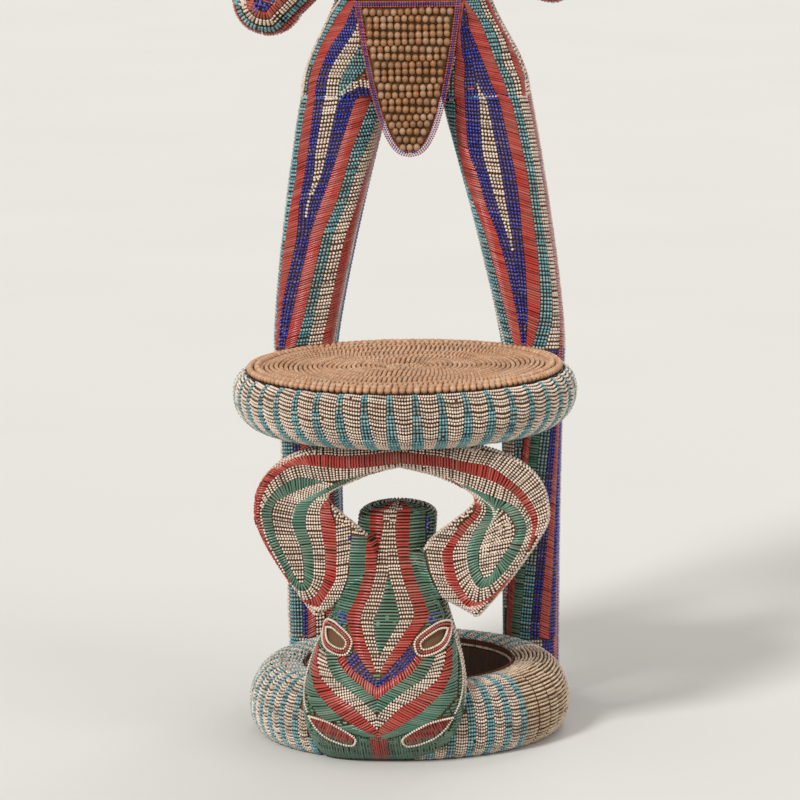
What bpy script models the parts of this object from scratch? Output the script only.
"""Beaded throne. A buffalo head on a ring base carries a round seat on its horns, and a standing figure with
an apron makes the back. Every carved wooden member wears a sewn cloth cover, which holds its beadwork.
Left and right are the viewer's, from the front. Metres, +Z up, +Y towards the back."""

import math

import bmesh
import bpy
import numpy as np

# Fits shared by all pieces
CLEARANCE = 0.0003
CLOTH = 0.004
ROUND_STEPS = 32
FLOOR_LIFT = 0.0015

# Seat
SEAT_HEIGHT = 0.381
SEAT_RADIUS = 0.178
SEAT_THICKNESS = 0.058
SEAT_FOOT_RADIUS = 0.140
SEAT_RIM_DROP = 0.022
SEAT_TOP_RADIUS = 0.166
MAT_RADIUS = 0.157
MAT_THICKNESS = 0.005
MAT_LIP_HEIGHT = 0.004
MAT_RIB_HEIGHT = 0.002
MAT_RIBS = 3
EDGE_BEAD_DIAMETER = 0.008

# Ring base
RING_RADIUS = 0.167
RING_HEIGHT = 0.075
RING_FOOT_RADIUS = 0.150
RING_WIDEST_HEIGHT = 0.030
RING_TOP_RADIUS = 0.134
RING_INNER_RADIUS = 0.108
RING_INNER_DROP = 0.010

# Buffalo head, stood on its muzzle and leaning back
HEAD_HEIGHT = 0.250
MUZZLE_HALF_WIDTH = 0.083
MUZZLE_FRONT = -0.197
MUZZLE_BACK = -0.072
MUZZLE_WIDEST_HEIGHT = 0.062
MUZZLE_TAPER = 0.017
MUZZLE_UNDERCUT = 0.044
FOREHEAD_HALF_WIDTH = 0.040
FOREHEAD_FRONT = -0.080
FOREHEAD_BACK = -0.008
CROWN_HEIGHT = 0.014
MUZZLE_X = -0.013
CROWN_X = -0.004
HEAD_SQUARENESS = 2.6
EYE_LENGTH = 0.042
EYE_HEIGHT = 0.025
EYE_X = 0.055
EYE_Z = 0.130
EYE_TILT = math.radians(20)
NOSTRIL_LENGTH = 0.042
NOSTRIL_HEIGHT = 0.018
NOSTRIL_X = 0.043
NOSTRIL_Z = 0.034
NOSTRIL_TILT = math.radians(24)
EDGING_DIAMETER = 0.004

# Horns, one each side, which meet under the seat
HORN_SPREAD = 0.152
HORN_WIDEST_HEIGHT = 0.245
HORN_SQUARENESS = 2.6
HORN_TIP_X = 0.084
HORN_TIP_HEIGHT = 0.142
HORN_TAPER = 1.3
HORN_SWAY = 0.006
HORN_ROOT_X = 0.028
HORN_ROOT_TOP = 0.218
HORN_ROOT_BOTTOM = 0.176
HORN_DEPTH = 0.046
HORN_CUP = 0.022
HORN_MID_Y = -0.106
ARCH_DEPTH = 0.024
ARCH_BITE = 0.003
OPENING_HALF_WIDTH = 0.076
OPENING_CORNER_DROP = 0.063

# Legs of the standing figure
LEG_FRONT = 0.112
LEG_BACK = 0.196
LEG_FOOT_X = 0.1165
LEG_SEAT_X = 0.123
LEG_HIP_X = 0.0745
LEG_FOOT_WIDTH = 0.057
LEG_SEAT_WIDTH = 0.064
LEG_HIP_WIDTH = 0.093
LEG_CURVE = 1.25
LEG_SQUARENESS = 3.6
HIP_HEIGHT = 0.655

# Torso, belt and apron
WAIST_RISE = 0.130
CHEST_RISE = 0.135
NECK_RISE = 0.055
WAIST_HEIGHT = HIP_HEIGHT + WAIST_RISE
SHOULDER_HEIGHT = WAIST_HEIGHT + CHEST_RISE
NECK_HEIGHT = SHOULDER_HEIGHT + NECK_RISE
HIP_HALF_WIDTH = 0.121
HIP_FRONT = 0.108
HIP_BACK = 0.197
WAIST_HALF_WIDTH = 0.077
CHEST_HALF_WIDTH = 0.110
NECK_HALF_WIDTH = 0.044
BODY_FRONT = 0.091
BODY_BACK = 0.190
NECK_Y = 0.138
NECK_HALF_DEPTH = 0.030
BELT_HEIGHT = WAIST_HEIGHT - 0.026
BELT_WIDTH = 0.016
BELT_THICKNESS = 0.006
APRON_LENGTH = 0.158
APRON_HALF_WIDTH = 0.050
APRON_FRONT = 0.080
APRON_THICKNESS = 0.008
APRON_BEND = 1.0
APRON_TAPER = 0.42
APRON_BORDER_DIAMETER = 0.006

# Arms, bent at the elbow with the hands on the chest
SHOULDER_X = 0.098
SHOULDER_Z = SHOULDER_HEIGHT - 0.015
ARM_Y = 0.146
ELBOW_Y = 0.138
LEFT_ELBOW = (-0.154, ELBOW_Y, SHOULDER_Z - 0.148)
RIGHT_ELBOW = (0.148, ELBOW_Y, SHOULDER_Z - 0.115)
HAND_X = 0.048
HAND_Y = 0.096
HAND_RISE = 0.088
UPPER_ARM_RADIUS = 0.034
ELBOW_RADIUS = 0.038
WRIST_RADIUS = 0.027
ROUND_END = [(0.95, 0.312), (0.6, 0.8)]

# Head of the figure, and its cap
FACE_HEIGHT = 0.200
CHIN_RISE = 0.030
FACE_HALF_WIDTH = 0.070
FACE_FRONT = 0.078
SKULL_BACK = 0.064
NOSE_LENGTH = 0.042
NOSE_RELIEF = 0.015
CAP_DROP = 0.086

# Tongues that join the carved members
TONGUE_WIDTH = 0.022
TONGUE_REACH = 0.022
ARCH_TONGUE_X = 0.016
RING_TONGUE_REACH = 0.012
ROOT_TONGUE_REACH = 0.040


# Points and outlines


def superellipse(half_x, half_y, squareness, count):
    """Points round a superellipse, from the front (-Y) on."""
    angles = np.arange(count) / count * 2 * math.pi - math.pi / 2
    cosine, sine = np.cos(angles), np.sin(angles)
    x = half_x * np.sign(cosine) * np.abs(cosine) ** (2 / squareness)
    y = half_y * np.sign(sine) * np.abs(sine) ** (2 / squareness)
    return np.stack([x, y], axis=1)


def level_ring(z, centre_x, half_width, front, back, squareness, count, inset=0.0):
    """A level section between a front and a back, drawn in by inset."""
    outline = superellipse(half_width - inset, (back - front) / 2 - inset, squareness, count)
    return [(centre_x + x, (front + back) / 2 + y, z) for x, y in outline]


def quarter(corner, reach, start, steps):
    """A quarter ellipse in (radius, height) that turns anticlockwise from the start angle, in degrees."""
    angles = np.radians(np.linspace(start, start + 90, steps + 1))
    return [(corner[0] + reach[0] * math.cos(a), corner[1] + reach[1] * math.sin(a)) for a in angles]


def inset_profile(profile, distance, start=(0, 1), end=(0, -1)):
    """The profile moved towards the left of its direction of travel, and its ends along start and end."""
    points = np.array(profile)
    along = np.gradient(points, axis=0)
    along /= np.linalg.norm(along, axis=1)[:, None]
    inward = np.stack([-along[:, 1], along[:, 0]], axis=1)
    inward[0], inward[-1] = start, end
    return [tuple(p) for p in points + distance * inward]


def smooth_curve(points, shares):
    """A Catmull-Rom curve through the points, at shares of its run from 0 to 1."""
    points = np.array(points, float)
    padded = np.vstack([2 * points[0] - points[1], points, 2 * points[-1] - points[-2]])
    samples = []
    for at in np.array(shares) * (len(points) - 1):
        i = min(int(at), len(points) - 2)
        t = at - i
        p0, p1, p2, p3 = padded[i : i + 4]
        samples.append(
            0.5 * (2 * p1 + (p2 - p0) * t + (2 * p0 - 5 * p1 + 4 * p2 - p3) * t * t)
            + 0.5 * (3 * p1 - p0 - 3 * p2 + p3) * t**3
        )
    return np.array(samples)


def between(low, high, share):
    return low + (high - low) * share


# Objects


def material(name, colour, roughness):
    made = bpy.data.materials.get(name)
    if made is None:
        made = bpy.data.materials.new(name)
        made.use_nodes = True
        shader = made.node_tree.nodes["Principled BSDF"]
        shader.inputs["Base Color"].default_value = (*colour, 1.0)
        shader.inputs["Roughness"].default_value = roughness
        shader.inputs["Metallic"].default_value = 0.0
    return made


def carved_wood():
    return material("carved_wood", (0.16, 0.085, 0.045), 0.65)


def beaded_cloth():
    return material("beaded_cloth", (0.42, 0.20, 0.15), 0.7)


def striped_cloth():
    return material("striped_cloth", (0.45, 0.50, 0.47), 0.6)


def seed_beads():
    return material("seed_beads", (0.36, 0.19, 0.10), 0.55)


def edging_beads():
    return material("edging_beads", (0.72, 0.66, 0.56), 0.4)


def finish(name, mesh_builder, look, hidden=False):
    """Turns a bmesh into an object under the throne's empty."""
    bmesh.ops.recalc_face_normals(mesh_builder, faces=mesh_builder.faces)
    mesh = bpy.data.meshes.new(name)
    mesh_builder.to_mesh(mesh)
    mesh_builder.free()
    mesh.shade_smooth()
    mesh.set_sharp_from_angle(angle=math.radians(40))
    made = bpy.data.objects.new(name, mesh)
    bpy.context.scene.collection.objects.link(made)
    made.parent = bpy.data.objects["throne"]
    if hidden:
        made.hide_render = True
        made.display_type = "WIRE"
    else:
        mesh.materials.append(look)
    return made


def add_rings(builder, rings, closed=True):
    """Vertices of each ring, joined to the next ring by triangles that all lean the same way."""
    made = [[builder.verts.new(point) for point in ring] for ring in rings]
    count = len(made[0])
    for low, high in zip(made, made[1:]):
        for i in range(count if closed else count - 1):
            j = (i + 1) % count
            builder.faces.new((low[i], low[j], high[j]))
            builder.faces.new((low[i], high[j], high[i]))
    return made


def solid_loft(name, rings, look, hidden=False):
    """A closed solid through the rings, capped at both ends."""
    builder = bmesh.new()
    made = add_rings(builder, rings)
    builder.faces.new(made[0])
    builder.faces.new(made[-1])
    return finish(name, builder, look, hidden)


def join_ends(builder, first, second):
    count = len(first)
    for i in range(count):
        j = (i + 1) % count
        builder.faces.new((first[i], first[j], second[j], second[i]))


def sleeve(name, outer, inner, look, closed_top=False):
    """A cover with a wall between the outer and inner rings, open at its ends or only at its first ring."""
    builder = bmesh.new()
    outside = add_rings(builder, outer)
    inside = add_rings(builder, inner)
    join_ends(builder, outside[0], inside[0])
    if closed_top:
        builder.faces.new(outside[-1])
        builder.faces.new(inside[-1])
    else:
        join_ends(builder, outside[-1], inside[-1])
    return finish(name, builder, look)


def revolved(name, profile, look, hidden=False):
    """A closed (radius, height) profile turned round the Z axis."""
    builder = bmesh.new()
    points = [builder.verts.new((radius, 0.0, height)) for radius, height in profile]
    edges = [builder.edges.new((points[i - 1], points[i])) for i in range(len(points))]
    bmesh.ops.spin(
        builder,
        geom=points + edges,
        cent=(0, 0, 0),
        axis=(0, 0, 1),
        angle=2 * math.pi,
        steps=ROUND_STEPS,
        use_merge=True,
    )
    bmesh.ops.remove_doubles(builder, verts=builder.verts, dist=1e-6)
    bmesh.ops.dissolve_degenerate(builder, edges=builder.edges, dist=1e-7)
    return finish(name, builder, look, hidden)


def block(name, low, high):
    """A hidden box between two corners, for a tongue or its socket."""
    builder = bmesh.new()
    bmesh.ops.create_cube(builder, size=1.0)
    for vertex in builder.verts:
        for axis in range(3):
            vertex.co[axis] = low[axis] if vertex.co[axis] < 0 else high[axis]
    return finish(name, builder, None, hidden=True)


def tube_rings(path, radii, count, inset=0.0):
    """Rings square to a path in space."""
    path = np.array(path, float)
    along = np.gradient(path, axis=0)
    rings = []
    for centre, direction, radius in zip(path, along, radii):
        direction = direction / np.linalg.norm(direction)
        side = np.cross(direction, (0.0, 1.0, 0.0))
        side /= np.linalg.norm(side)
        over = np.cross(side, direction)
        outline = superellipse(radius - inset, radius - inset, 2, count)
        rings.append([tuple(centre + side * x + over * y) for x, y in outline])
    return rings


def looped_tube(name, path, diameter, look, sides=5):
    """A tube along a closed path, as a bent string of edging is."""
    path = np.array(path)
    along = np.roll(path, -1, axis=0) - np.roll(path, 1, axis=0)
    builder = bmesh.new()
    rings = []
    for centre, direction in zip(path, along):
        direction = direction / np.linalg.norm(direction)
        side = np.cross(direction, (0.0, 1.0, 0.0))
        side /= np.linalg.norm(side)
        over = np.cross(side, direction)
        outline = superellipse(diameter / 2, diameter / 2, 2, sides)
        rings.append([tuple(centre + side * x + over * y) for x, y in outline])
    made = add_rings(builder, rings)
    join_ends(builder, made[-1], made[0])
    return finish(name, builder, look)


def boolean(target, tool, operation):
    change = target.modifiers.new(f"{operation.lower()}_{tool.name}", "BOOLEAN")
    change.operation = operation
    change.solver = "EXACT"
    change.object = tool


def cut(targets, tool):
    for target in targets:
        boolean(target, tool, "DIFFERENCE")


def tongue_joint(owner, hosts, low, high):
    """A square tongue on its owner, and a socket for it in each host."""
    low, high = np.minimum(low, high), np.maximum(low, high)
    boolean(owner, block(f"{owner.name}_tongue_{len(owner.modifiers)}", low, high), "UNION")
    socket = block(f"{owner.name}_socket_{len(owner.modifiers)}", low - CLEARANCE, high + CLEARANCE)
    cut(hosts, socket)


# Seat


def seat_rim_profile(steps):
    """The rim from the seat's foot, out round its widest line and up to its top."""
    widest = SEAT_HEIGHT - SEAT_RIM_DROP
    lower = quarter(
        (SEAT_FOOT_RADIUS, widest),
        (SEAT_RADIUS - SEAT_FOOT_RADIUS, widest - SEAT_HEIGHT + SEAT_THICKNESS),
        -90,
        steps,
    )
    upper = quarter(
        (SEAT_TOP_RADIUS, widest), (SEAT_RADIUS - SEAT_TOP_RADIUS, SEAT_RIM_DROP), 0, steps
    )
    return lower + upper[1:]


def mat_profile(base):
    """The mat's top from its flat middle out, where rounds of beads rise in ribs and the last rib is its lip."""
    pitch = MAT_RADIUS / (MAT_RIBS + 0.5)
    top = base + MAT_THICKNESS
    profile = [(0, top), (0.5 * pitch, top)]
    for rib in range(1, MAT_RIBS + 1):
        rise = MAT_LIP_HEIGHT if rib == MAT_RIBS else MAT_RIB_HEIGHT
        profile += [(rib * pitch, top + rise), ((rib + 0.5) * pitch, top)]
    return profile


def make_seat():
    rim = seat_rim_profile(2)
    lining = inset_profile(rim, CLOTH)
    bed = inset_profile(rim, CLOTH + CLEARANCE)
    underside = SEAT_HEIGHT - SEAT_THICKNESS
    foot, brim = SEAT_FOOT_RADIUS - CLEARANCE, SEAT_TOP_RADIUS - CLEARANCE
    disc = revolved(
        "seat_disc",
        [(0, underside), (foot, underside), (foot, bed[0][1])]
        + bed[1:-1]
        + [(brim, bed[-1][1]), (brim, SEAT_HEIGHT), (0, SEAT_HEIGHT)],
        carved_wood(),
    )
    revolved("seat_rim_cover", rim + lining[::-1], striped_cloth())
    base = SEAT_HEIGHT + CLEARANCE
    revolved("seat_mat", [(MAT_RADIUS, base), (0, base)] + mat_profile(base), seed_beads())
    string_radius = MAT_RADIUS + CLEARANCE + EDGE_BEAD_DIAMETER / 2
    string_height = base + EDGE_BEAD_DIAMETER / 2
    outline = superellipse(EDGE_BEAD_DIAMETER / 2, EDGE_BEAD_DIAMETER / 2, 2, 6)
    revolved("seat_edge_string", [(string_radius + x, string_height + y) for x, y in outline], seed_beads())
    return disc


def seat_envelope():
    """The space of the dressed seat, which the legs and horns are cut to receive."""
    around = inset_profile(seat_rim_profile(2), -CLEARANCE)
    foot = (SEAT_FOOT_RADIUS, SEAT_HEIGHT - SEAT_THICKNESS - CLEARANCE)
    string = MAT_RADIUS + EDGE_BEAD_DIAMETER + 2 * CLEARANCE
    top = SEAT_HEIGHT + MAT_THICKNESS + MAT_LIP_HEIGHT + EDGE_BEAD_DIAMETER / 2
    shelf = around[-1][1]
    profile = [(0, foot[1]), foot] + around[1:-1] + [(SEAT_TOP_RADIUS, shelf), (string, shelf), (string, top)]
    return revolved("seat_envelope", profile + [(0, top)], None, hidden=True)


# Ring base


def ring_profile(steps):
    """The ring's beaded surface from its foot, out and over the top to its inner edge."""
    widest, top = RING_WIDEST_HEIGHT, RING_HEIGHT
    lower = quarter(
        (RING_FOOT_RADIUS, widest), (RING_RADIUS - RING_FOOT_RADIUS, widest - FLOOR_LIFT), -90, steps
    )
    upper = quarter((RING_TOP_RADIUS, widest), (RING_RADIUS - RING_TOP_RADIUS, top - widest), 0, steps)
    inner = quarter(
        (RING_TOP_RADIUS, top - RING_INNER_DROP),
        (RING_TOP_RADIUS - RING_INNER_RADIUS, RING_INNER_DROP),
        90,
        2,
    )
    return lower + upper[1:] + inner[1:]


def make_ring():
    surface = ring_profile(2)
    lining = inset_profile(surface, CLOTH, end=(1, 0))
    bed = inset_profile(surface, CLOTH + CLEARANCE, end=(1, 0))
    foot = RING_FOOT_RADIUS - CLEARANCE
    shoulder = RING_HEIGHT - RING_INNER_DROP - CLEARANCE
    ring = revolved(
        "base_ring",
        [(RING_INNER_RADIUS, 0), (foot, 0), (foot, bed[0][1])]
        + bed[1:-1]
        + [(bed[-1][0], shoulder), (RING_INNER_RADIUS, shoulder)],
        carved_wood(),
    )
    cover = revolved("ring_cover", surface + lining[::-1], striped_cloth())
    return ring, cover


def ring_envelope():
    around = inset_profile(ring_profile(2), -CLEARANCE, end=(1, 0))
    inside = RING_INNER_RADIUS - CLEARANCE
    below = -FLOOR_LIFT
    profile = [(inside, below), (RING_FOOT_RADIUS, below)] + around
    return revolved("ring_envelope", profile, None, hidden=True)


# Buffalo head


def head_section(height):
    """Middle, half width, front and back of the head at a height."""
    middle = between(MUZZLE_X, CROWN_X, height / HEAD_HEIGHT)
    muzzle_share = max(0.0, 1 - height / MUZZLE_WIDEST_HEIGHT)
    rise = max(0.0, height - MUZZLE_WIDEST_HEIGHT) / (HEAD_HEIGHT - CROWN_HEIGHT - MUZZLE_WIDEST_HEIGHT)
    narrowing = (1 - math.cos(math.pi * min(1.0, rise * 1.08))) / 2
    half_width = between(MUZZLE_HALF_WIDTH, FOREHEAD_HALF_WIDTH, narrowing)
    half_width -= MUZZLE_TAPER * muzzle_share**2
    front = between(MUZZLE_FRONT, FOREHEAD_FRONT, min(1.0, rise) ** 1.25)
    front += MUZZLE_UNDERCUT * muzzle_share**2
    back = between(MUZZLE_BACK, FOREHEAD_BACK, min(1.0, rise) ** 1.3)
    if rise > 1:
        crown = (height - HEAD_HEIGHT + CROWN_HEIGHT) / CROWN_HEIGHT
        half_width *= math.sqrt(1 - 0.7 * crown)
        front = between(front, (front + back) / 2, 0.45 * crown**2)
        back = between(back, (front + back) / 2, 0.25 * crown**2)
    return middle, half_width, front, back


def head_rings(inset=0.0, foot=0.0, count=18):
    heights = list(np.linspace(0, HEAD_HEIGHT - CROWN_HEIGHT, 8))
    heights += list(HEAD_HEIGHT - CROWN_HEIGHT * np.array([0.4, 0.0]))
    rings = []
    for height in heights:
        middle, half_width, front, back = head_section(height)
        at = min(height, HEAD_HEIGHT - inset - 0.1 * (HEAD_HEIGHT - height)) if height > 0 else foot
        rings.append(level_ring(at, middle, half_width, front, back, HEAD_SQUARENESS, count, inset))
    return rings


def head_front(x, height):
    """How far forward the head's surface lies at a point seen from the front."""
    middle, half_width, front, back = head_section(height)
    reach = 1 - min(1.0, abs(x - middle) / half_width) ** HEAD_SQUARENESS
    return (front + back) / 2 - (back - front) / 2 * reach ** (1 / HEAD_SQUARENESS)


def make_head():
    core = solid_loft("buffalo_head", head_rings(CLOTH + CLEARANCE), carved_wood())
    cover = sleeve(
        "head_cover",
        head_rings(),
        head_rings(CLOTH),
        beaded_cloth(),
        closed_top=True,
    )
    return core, cover


def head_envelope():
    return solid_loft("head_envelope", head_rings(-CLEARANCE, -FLOOR_LIFT), None, hidden=True)


def face_loop(side, centre_x, centre_z, length, height, tilt, point, lift):
    """A rim lifted off the head's front: an oval, pointed at its outer end where point is above 0."""
    path = []
    for angle in np.linspace(0, 2 * math.pi, 16, endpoint=False):
        across = length / 2 * math.cos(angle)
        up = height / 2 * math.sin(angle) * (1 - point * max(0.0, math.cos(angle)))
        z = centre_z + across * math.sin(tilt) + up * math.cos(tilt)
        x = head_section(z)[0] + side * (centre_x + across * math.cos(tilt) - up * math.sin(tilt))
        step = 0.002
        slope_x = (head_front(x + step, z) - head_front(x - step, z)) / (2 * step)
        slope_z = (head_front(x, z + step) - head_front(x, z - step)) / (2 * step)
        forward = (EDGING_DIAMETER / 2 + lift) * math.sqrt(1 + slope_x**2 + slope_z**2)
        path.append((x, head_front(x, z) - forward, z))
    return path


def make_face_edging(side, name):
    eye = face_loop(side, EYE_X, EYE_Z, EYE_LENGTH, EYE_HEIGHT, EYE_TILT, 0.6, 6 * CLEARANCE)
    looped_tube(f"eye_rim_{name}", eye, EDGING_DIAMETER, edging_beads())
    nostril = face_loop(
        side, NOSTRIL_X, NOSTRIL_Z, NOSTRIL_LENGTH, NOSTRIL_HEIGHT, NOSTRIL_TILT, 0.0, CLEARANCE
    )
    looped_tube(f"nostril_rim_{name}", nostril, EDGING_DIAMETER, edging_beads())


# Horns


def horn_edges(shares):
    """The outer and inner edges of a horn in (x, z), from the middle of the arch out and down to the tip."""
    top = SEAT_HEIGHT - SEAT_THICKNESS + ARCH_BITE
    outer = []
    for angle in np.radians(np.linspace(0, 90, 10)):
        x = HORN_SPREAD * math.sin(angle) ** (2 / HORN_SQUARENESS)
        z = between(HORN_WIDEST_HEIGHT, top, math.cos(angle) ** (2 / HORN_SQUARENESS))
        outer.append((x, z))
    for share in np.linspace(0, 1, 8)[1:]:
        x = between(HORN_SPREAD, HORN_TIP_X, share**HORN_TAPER)
        outer.append((x, between(HORN_WIDEST_HEIGHT, HORN_TIP_HEIGHT, share)))
    under = top - ARCH_DEPTH - ARCH_BITE
    corner = top - OPENING_CORNER_DROP
    inner = [
        (0, under),
        (0.55 * OPENING_HALF_WIDTH, between(under, corner, 0.34)),
        (OPENING_HALF_WIDTH, corner),
        (HORN_ROOT_X, HORN_ROOT_TOP),
        (HORN_ROOT_X, HORN_ROOT_BOTTOM),
        (HORN_TIP_X, HORN_TIP_HEIGHT),
    ]
    return smooth_curve(outer, shares), smooth_curve(inner, shares)


def horn_rings(side, inset=0.0, stations=12, count=12):
    """Lens-shaped sections between the two edges, with the front drawn in to a cup over the lobe."""
    shares = np.linspace(0, 1, stations)
    shares[-1] = 0.985 - 9 * inset
    outer, inner = horn_edges(shares)
    rings = []
    for share, edge, root in zip(shares, outer, inner):
        cup = HORN_CUP * math.sin(math.pi * share) ** 2
        middle = (edge + root) / 2
        half_width = np.linalg.norm(edge - root) / 2
        across = (edge - root) / (2 * half_width)
        half_depth = HORN_DEPTH / 2 * min(1.0, 0.5 + 1.6 * (1 - share))
        ring = []
        for u, v in superellipse(1.0, 1.0, 2.4, count):
            x, z = middle + across * (half_width - inset) * u
            y = HORN_MID_Y + (half_depth - inset) * v + (cup * v * v if v < 0 else 0.0)
            sway = HORN_SWAY * min(1.0, (z - HORN_TIP_HEIGHT) / (HORN_WIDEST_HEIGHT - HORN_TIP_HEIGHT))
            ring.append((sway + side * max(x, CLEARANCE / 2), y, z))
        rings.append(ring)
    return rings


def make_horn(side, name):
    core = solid_loft(f"horn_{name}", horn_rings(side, CLOTH + 3 * CLEARANCE), carved_wood())
    cover = sleeve(
        f"horn_cover_{name}", horn_rings(side), horn_rings(side, CLOTH), beaded_cloth(), closed_top=True
    )
    return core, cover


# Legs


def leg_rings(side, inset=0.0, foot=0.0, count=14):
    """Level sections up the leg, which swells and leans in from the seat to the hip."""
    rings = []
    heights = [foot, 0.5 * SEAT_HEIGHT, *np.linspace(SEAT_HEIGHT, HIP_HEIGHT, 6)]
    for height in heights:
        if height <= SEAT_HEIGHT:
            share = (height / SEAT_HEIGHT) ** 2
            x = between(LEG_FOOT_X, LEG_SEAT_X, share)
            width = between(LEG_FOOT_WIDTH, LEG_SEAT_WIDTH, share)
        else:
            share = (height - SEAT_HEIGHT) / (HIP_HEIGHT - SEAT_HEIGHT)
            x = between(LEG_SEAT_X, LEG_HIP_X, share**LEG_CURVE)
            width = between(LEG_SEAT_WIDTH, LEG_HIP_WIDTH, share)
        rings.append(
            level_ring(height, side * x, width / 2, LEG_FRONT, LEG_BACK, LEG_SQUARENESS, count, inset)
        )
    return rings


def make_leg(side, name):
    core = solid_loft(f"leg_{name}", leg_rings(side, CLOTH + CLEARANCE), carved_wood())
    cover = sleeve(
        f"leg_cover_{name}",
        leg_rings(side, 0.0, FLOOR_LIFT),
        leg_rings(side, CLOTH, FLOOR_LIFT),
        beaded_cloth(),
    )
    return core, cover


# Torso, belt and apron


def torso_section(height):
    """Half width, front and back of the torso at a height."""
    if height < WAIST_HEIGHT:
        share = (height - HIP_HEIGHT) / (WAIST_HEIGHT - HIP_HEIGHT)
        swing = (1 - math.cos(math.pi * share)) / 2
        front = between(HIP_FRONT, BODY_FRONT, math.sqrt(swing))
        return between(HIP_HALF_WIDTH, WAIST_HALF_WIDTH, swing), front, between(HIP_BACK, BODY_BACK, swing)
    if height < SHOULDER_HEIGHT:
        share = (height - WAIST_HEIGHT) / (SHOULDER_HEIGHT - WAIST_HEIGHT)
        swing = (1 - math.cos(math.pi * share)) / 2
        return between(WAIST_HALF_WIDTH, CHEST_HALF_WIDTH, swing), BODY_FRONT, BODY_BACK
    share = min(1.0, (height - SHOULDER_HEIGHT) / (NECK_HEIGHT - SHOULDER_HEIGHT))
    fall = 1 - math.sqrt(max(0.0, 1 - share**2))
    front = between(BODY_FRONT, NECK_Y - NECK_HALF_DEPTH, fall)
    back = between(BODY_BACK, NECK_Y + NECK_HALF_DEPTH, fall)
    return between(CHEST_HALF_WIDTH, NECK_HALF_WIDTH, fall), front, back


def torso_ring(height, inset, count=16):
    half_width, front, back = torso_section(height)
    return level_ring(height, 0, half_width, front, back, 2.6, count, inset)


def torso_rings(inset=0.0, foot=HIP_HEIGHT + CLEARANCE):
    heights = [foot, between(foot, BELT_HEIGHT, 0.5), BELT_HEIGHT, BELT_HEIGHT + BELT_WIDTH]
    heights += list(np.linspace(WAIST_HEIGHT, SHOULDER_HEIGHT, 4))
    heights += list(between(SHOULDER_HEIGHT, NECK_HEIGHT, np.array([0.6, 0.9, 1.0])))
    return [torso_ring(height, inset) for height in heights]


def make_torso():
    core = solid_loft("torso", torso_rings(CLOTH + CLEARANCE), carved_wood())
    cover = sleeve("torso_cover", torso_rings(), torso_rings(CLOTH), beaded_cloth())
    return core, cover


def make_belt():
    edges = (BELT_HEIGHT, BELT_HEIGHT + BELT_WIDTH)
    outside = [torso_ring(height, -CLEARANCE - BELT_THICKNESS) for height in edges]
    inside = [torso_ring(height, -CLEARANCE) for height in edges]
    return sleeve("belt", outside, inside, edging_beads())


def apron_half_width(share):
    """Half the apron's width at a share of its length, counted up from the bottom."""
    return APRON_HALF_WIDTH * share**APRON_TAPER


def apron_outline(steps):
    """Shares of the apron's length, close together round its bottom."""
    return np.linspace(0.13, 1.0, steps) ** 2


def make_apron():
    top = BELT_HEIGHT - CLEARANCE
    bottom = top - APRON_LENGTH
    rings = []
    for share in apron_outline(9):
        half_width = apron_half_width(share)
        across = half_width * np.linspace(-1, 1, 7)
        front = [(x, APRON_FRONT + APRON_BEND * x * x) for x in across]
        back = [(x, y + APRON_THICKNESS) for x, y in front[::-1]]
        rings.append([(x, y, between(bottom, top, share)) for x, y in front + back])
    solid_loft("apron", rings, seed_beads())

    offset = APRON_BORDER_DIAMETER / 2 + 2 * CLEARANCE
    right = [(apron_half_width(s), between(bottom, top, s)) for s in apron_outline(11)[::-1]]
    half = np.array(right + [(0.0, bottom)])
    along = np.gradient(half, axis=0)
    along /= np.linalg.norm(along, axis=1)[:, None]
    half = half + offset * np.stack([-along[:, 1], along[:, 0]], axis=1)
    half[-1] = (0.0, rings[0][0][2] - offset)
    half[:, 1] = np.minimum(half[:, 1], top - CLEARANCE)
    whole = [(x, z) for x, z in half] + [(-x, z) for x, z in half[-2::-1]]
    middle = APRON_FRONT + APRON_THICKNESS / 2
    path = [(x, middle + APRON_BEND * x * x, z) for x, z in whole]
    radii = [APRON_BORDER_DIAMETER / 2] * len(path)
    solid_loft("apron_border", tube_rings(path, radii, 6), edging_beads())


# Arms


def limb_rings(elbow, end, elbow_radius, end_radius, inset, count=8):
    """Sections of a straight limb with round ends."""
    elbow, end = np.array(elbow), np.array(end)
    direction = (end - elbow) / np.linalg.norm(end - elbow)
    side = np.cross(direction, (0.0, 1.0, 0.0))
    side /= np.linalg.norm(side)
    over = np.cross(side, direction)
    near, far = elbow_radius - inset, end_radius - inset
    stops = [(elbow - direction * near * reach, near * share) for reach, share in ROUND_END]
    stops += [(elbow, near), (end, far)]
    stops += [(end + direction * far * reach, far * share) for reach, share in ROUND_END[::-1]]
    rings = []
    for centre, radius in stops:
        rings.append([tuple(centre + side * x + over * y) for x, y in superellipse(radius, radius, 2, count)])
    return rings


def arm_limbs(side, elbow, inset=0.0):
    """The sections of the upper arm and of the forearm, which share the elbow."""
    shoulder = (side * SHOULDER_X, ARM_Y, SHOULDER_Z)
    hand = np.array([side * HAND_X, HAND_Y, elbow[2] + HAND_RISE])
    start = np.array(elbow) + 0.08 * (hand - np.array(elbow))
    upper = limb_rings(elbow, shoulder, ELBOW_RADIUS, UPPER_ARM_RADIUS, inset)
    return upper, limb_rings(start, hand, 0.92 * ELBOW_RADIUS, WRIST_RADIUS, inset)


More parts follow.
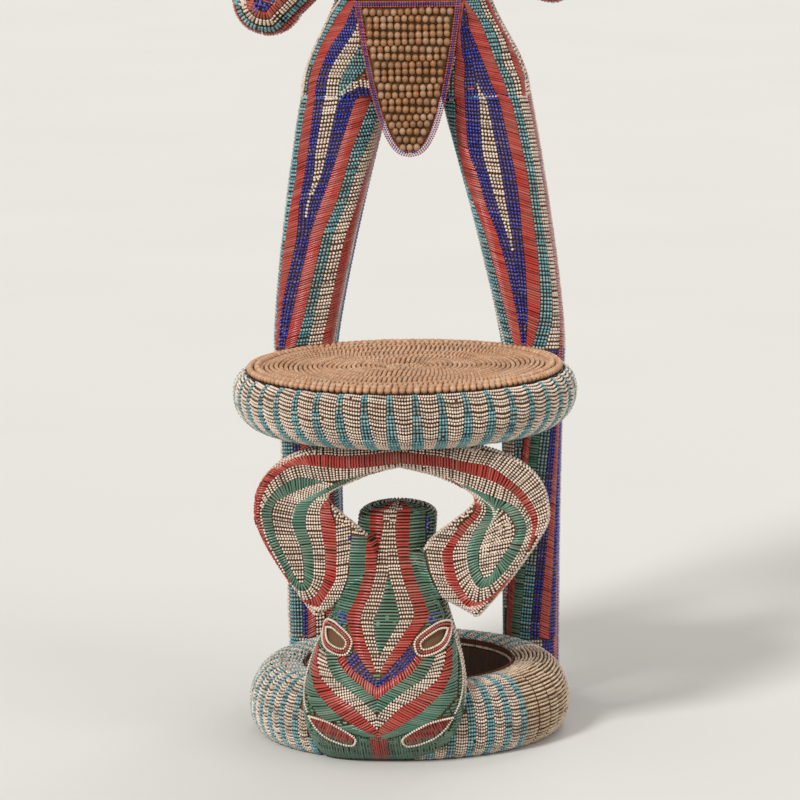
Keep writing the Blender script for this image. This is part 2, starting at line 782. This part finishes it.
def make_arm(side, name, elbow):
    upper, fore = arm_limbs(side, elbow, CLOTH + CLEARANCE)
    core = solid_loft(f"arm_{name}", upper, carved_wood())
    boolean(core, solid_loft(f"forearm_{name}", fore, None, hidden=True), "UNION")
    upper, fore = arm_limbs(side, elbow)
    cover = solid_loft(f"arm_cover_{name}", upper, beaded_cloth())
    boolean(cover, solid_loft(f"forearm_cover_{name}", fore, None, hidden=True), "UNION")
    for part, rings in zip(("upper", "fore"), arm_limbs(side, elbow, CLOTH)):
        cut([cover], solid_loft(f"{part}_lining_{name}", rings, None, hidden=True))
    return core, cover


# Head of the figure


def figure_section(rise):
    """Half width, front reach and back reach of the neck and head, at a rise above the neck's foot."""
    chin = CHIN_RISE
    crown = np.array([0.16, 0.32, 0.50, 0.68, 0.84, 0.95, 1.0])
    heights = [0.0, 0.7 * chin, chin, *(chin + crown * FACE_HEIGHT)]
    widths = np.array([0.56, 0.52, 0.62, 0.86, 0.96, 1.0, 1.0, 0.88, 0.56, 0.2]) * FACE_HALF_WIDTH
    fronts = np.array([0.46, 0.45, 0.78, 0.96, 1.0, 0.98, 1.0, 0.86, 0.54, 0.2]) * FACE_FRONT
    backs = np.array([0.50, 0.52, 0.60, 0.80, 0.94, 1.0, 1.0, 0.88, 0.56, 0.2]) * SKULL_BACK
    return (np.interp(rise, heights, values) for values in (widths, fronts, backs))


def face_relief(x, up):
    """How far the carved features stand out from the face, at x across and up from the chin."""
    brow = 0.56 * FACE_HEIGHT
    tip = brow - NOSE_LENGTH
    along = np.clip((brow - up) / NOSE_LENGTH, 0.0, 1.0)
    ends = np.exp(-(max(0.0, tip - up) / 0.006) ** 2)
    nose = NOSE_RELIEF * along * ends * math.exp(-((x / (0.008 + 0.006 * along)) ** 2))
    eye = 0.005 * math.exp(-(((abs(x) - 0.030) / 0.014) ** 2) - ((up - brow + 0.014) / 0.010) ** 2)
    lips = 0.005 * math.exp(-((x / 0.020) ** 2) - ((up - 0.20 * FACE_HEIGHT) / 0.009) ** 2)
    return nose - eye + lips


def figure_head_rings(rises, inset=0.0, count=24):
    rings = []
    for rise in rises:
        half_width, front, back = figure_section(rise)
        ring = []
        for x, y in superellipse(half_width - inset, 1.0, 2.2, count):
            reach = (front if y < 0 else back) - inset
            relief = face_relief(x, rise - CHIN_RISE) if y < -0.3 else 0.0
            ring.append((x, NECK_Y + y * reach - relief, NECK_HEIGHT + CLEARANCE + rise))
        rings.append(ring)
    return rings


def make_figure_head():
    top = CHIN_RISE + FACE_HEIGHT
    brim = top - CAP_DROP
    covered = list(between(brim, top, np.array([0.0, 0.4, 0.75, 0.93, 1.0])))
    bare = list(np.linspace(0.0, brim, 13)[:-1])
    core = solid_loft("figure_head", figure_head_rings(bare + covered), carved_wood())
    walls = []
    for offset in (CLEARANCE + CLOTH, CLEARANCE):
        rings = figure_head_rings(covered, -offset)
        lifts = offset * np.linspace(0, 1, len(rings))
        walls.append([[(x, y, z + lift) for x, y, z in ring] for ring, lift in zip(rings, lifts)])
    sleeve("cap", *walls, beaded_cloth(), closed_top=True)
    return core


# Assembly


def clear_scene():
    for old in list(bpy.data.objects):
        bpy.data.objects.remove(old)


def join_horn(side, horn, horn_cover, seat, head, head_cover):
    """The horn is cut to the head and the seat, and tongues hold it to both."""
    half = TONGUE_WIDTH / 2
    underside = SEAT_HEIGHT - SEAT_THICKNESS
    low = (side * ARCH_TONGUE_X, HORN_MID_Y - half, underside - ARCH_DEPTH / 2)
    high = (side * (ARCH_TONGUE_X + TONGUE_WIDTH), HORN_MID_Y + half, underside + TONGUE_REACH)
    tongue_joint(horn, [seat, horn_cover], np.array(low), np.array(high))
    root = (HORN_ROOT_TOP + HORN_ROOT_BOTTOM) / 2
    low = (side * (HORN_ROOT_X - 0.010), HORN_MID_Y, root - half)
    high = (side * (HORN_ROOT_X + ROOT_TONGUE_REACH), HORN_MID_Y + half, root + half)
    tongue_joint(horn, [head, head_cover, horn_cover], np.array(low), np.array(high))


def join_ring(side, ring, head, head_cover, ring_cover):
    """A tongue on each end of the ring enters the head's side."""
    half = TONGUE_WIDTH / 2
    y = -RING_INNER_RADIUS
    z = RING_HEIGHT / 2 - 0.004
    low = (MUZZLE_X + side * (MUZZLE_HALF_WIDTH - CLOTH - TONGUE_REACH), y - half, z - half)
    high = (MUZZLE_X + side * (MUZZLE_HALF_WIDTH + RING_TONGUE_REACH), y + half, z + half)
    tongue_joint(ring, [head, head_cover, ring_cover], np.array(low), np.array(high))


def join_leg(side, leg, torso):
    half = TONGUE_WIDTH / 2
    y = (LEG_FRONT + LEG_BACK) / 2
    low = (side * LEG_HIP_X - half, y - half, HIP_HEIGHT - TONGUE_REACH)
    high = (side * LEG_HIP_X + half, y + half, HIP_HEIGHT + TONGUE_REACH)
    tongue_joint(leg, [torso], np.array(low), np.array(high))


def join_arm(side, arm, arm_cover, torso, torso_cover):
    """A tongue where the shoulder enters the side of the chest."""
    half = TONGUE_WIDTH / 2
    low = (side * (CHEST_HALF_WIDTH - 2 * TONGUE_REACH), ARM_Y - half, SHOULDER_Z - half)
    high = (side * (SHOULDER_X + 0.016), ARM_Y + half, SHOULDER_Z + half)
    tongue_joint(arm, [torso, torso_cover, arm_cover], np.array(low), np.array(high))


def join_figure_head(figure_head, torso):
    half = TONGUE_WIDTH / 2
    low = (-half, NECK_Y - half, NECK_HEIGHT - TONGUE_REACH)
    high = (half, NECK_Y + half, NECK_HEIGHT + TONGUE_REACH)
    tongue_joint(figure_head, [torso], np.array(low), np.array(high))


def main():
    clear_scene()
    root = bpy.data.objects.new("throne", None)
    bpy.context.scene.collection.objects.link(root)

    seat = make_seat()
    seat_space = seat_envelope()
    ring, ring_cover = make_ring()
    ring_space = ring_envelope()
    head, head_cover = make_head()
    head_space = head_envelope()
    torso, torso_cover = make_torso()
    torso_space = solid_loft("torso_envelope", torso_rings(-CLEARANCE), None, hidden=True)
    figure_head = make_figure_head()
    make_belt()
    make_apron()

    cut([ring, ring_cover], head_space)
    join_figure_head(figure_head, torso)
    for side, name, elbow in ((-1, "left", LEFT_ELBOW), (1, "right", RIGHT_ELBOW)):
        make_face_edging(side, name)
        horn, horn_cover = make_horn(side, name)
        cut([horn, horn_cover], head_space)
        cut([horn, horn_cover], seat_space)
        join_horn(side, horn, horn_cover, seat, head, head_cover)
        join_ring(side, ring, head, head_cover, ring_cover)
        leg, leg_cover = make_leg(side, name)
        cut([leg, leg_cover], seat_space)
        cut([leg, leg_cover], ring_space)
        join_leg(side, leg, torso)
        arm, arm_cover = make_arm(side, name, elbow)
        cut([arm, arm_cover], torso_space)
        join_arm(side, arm, arm_cover, torso, torso_cover)


main()
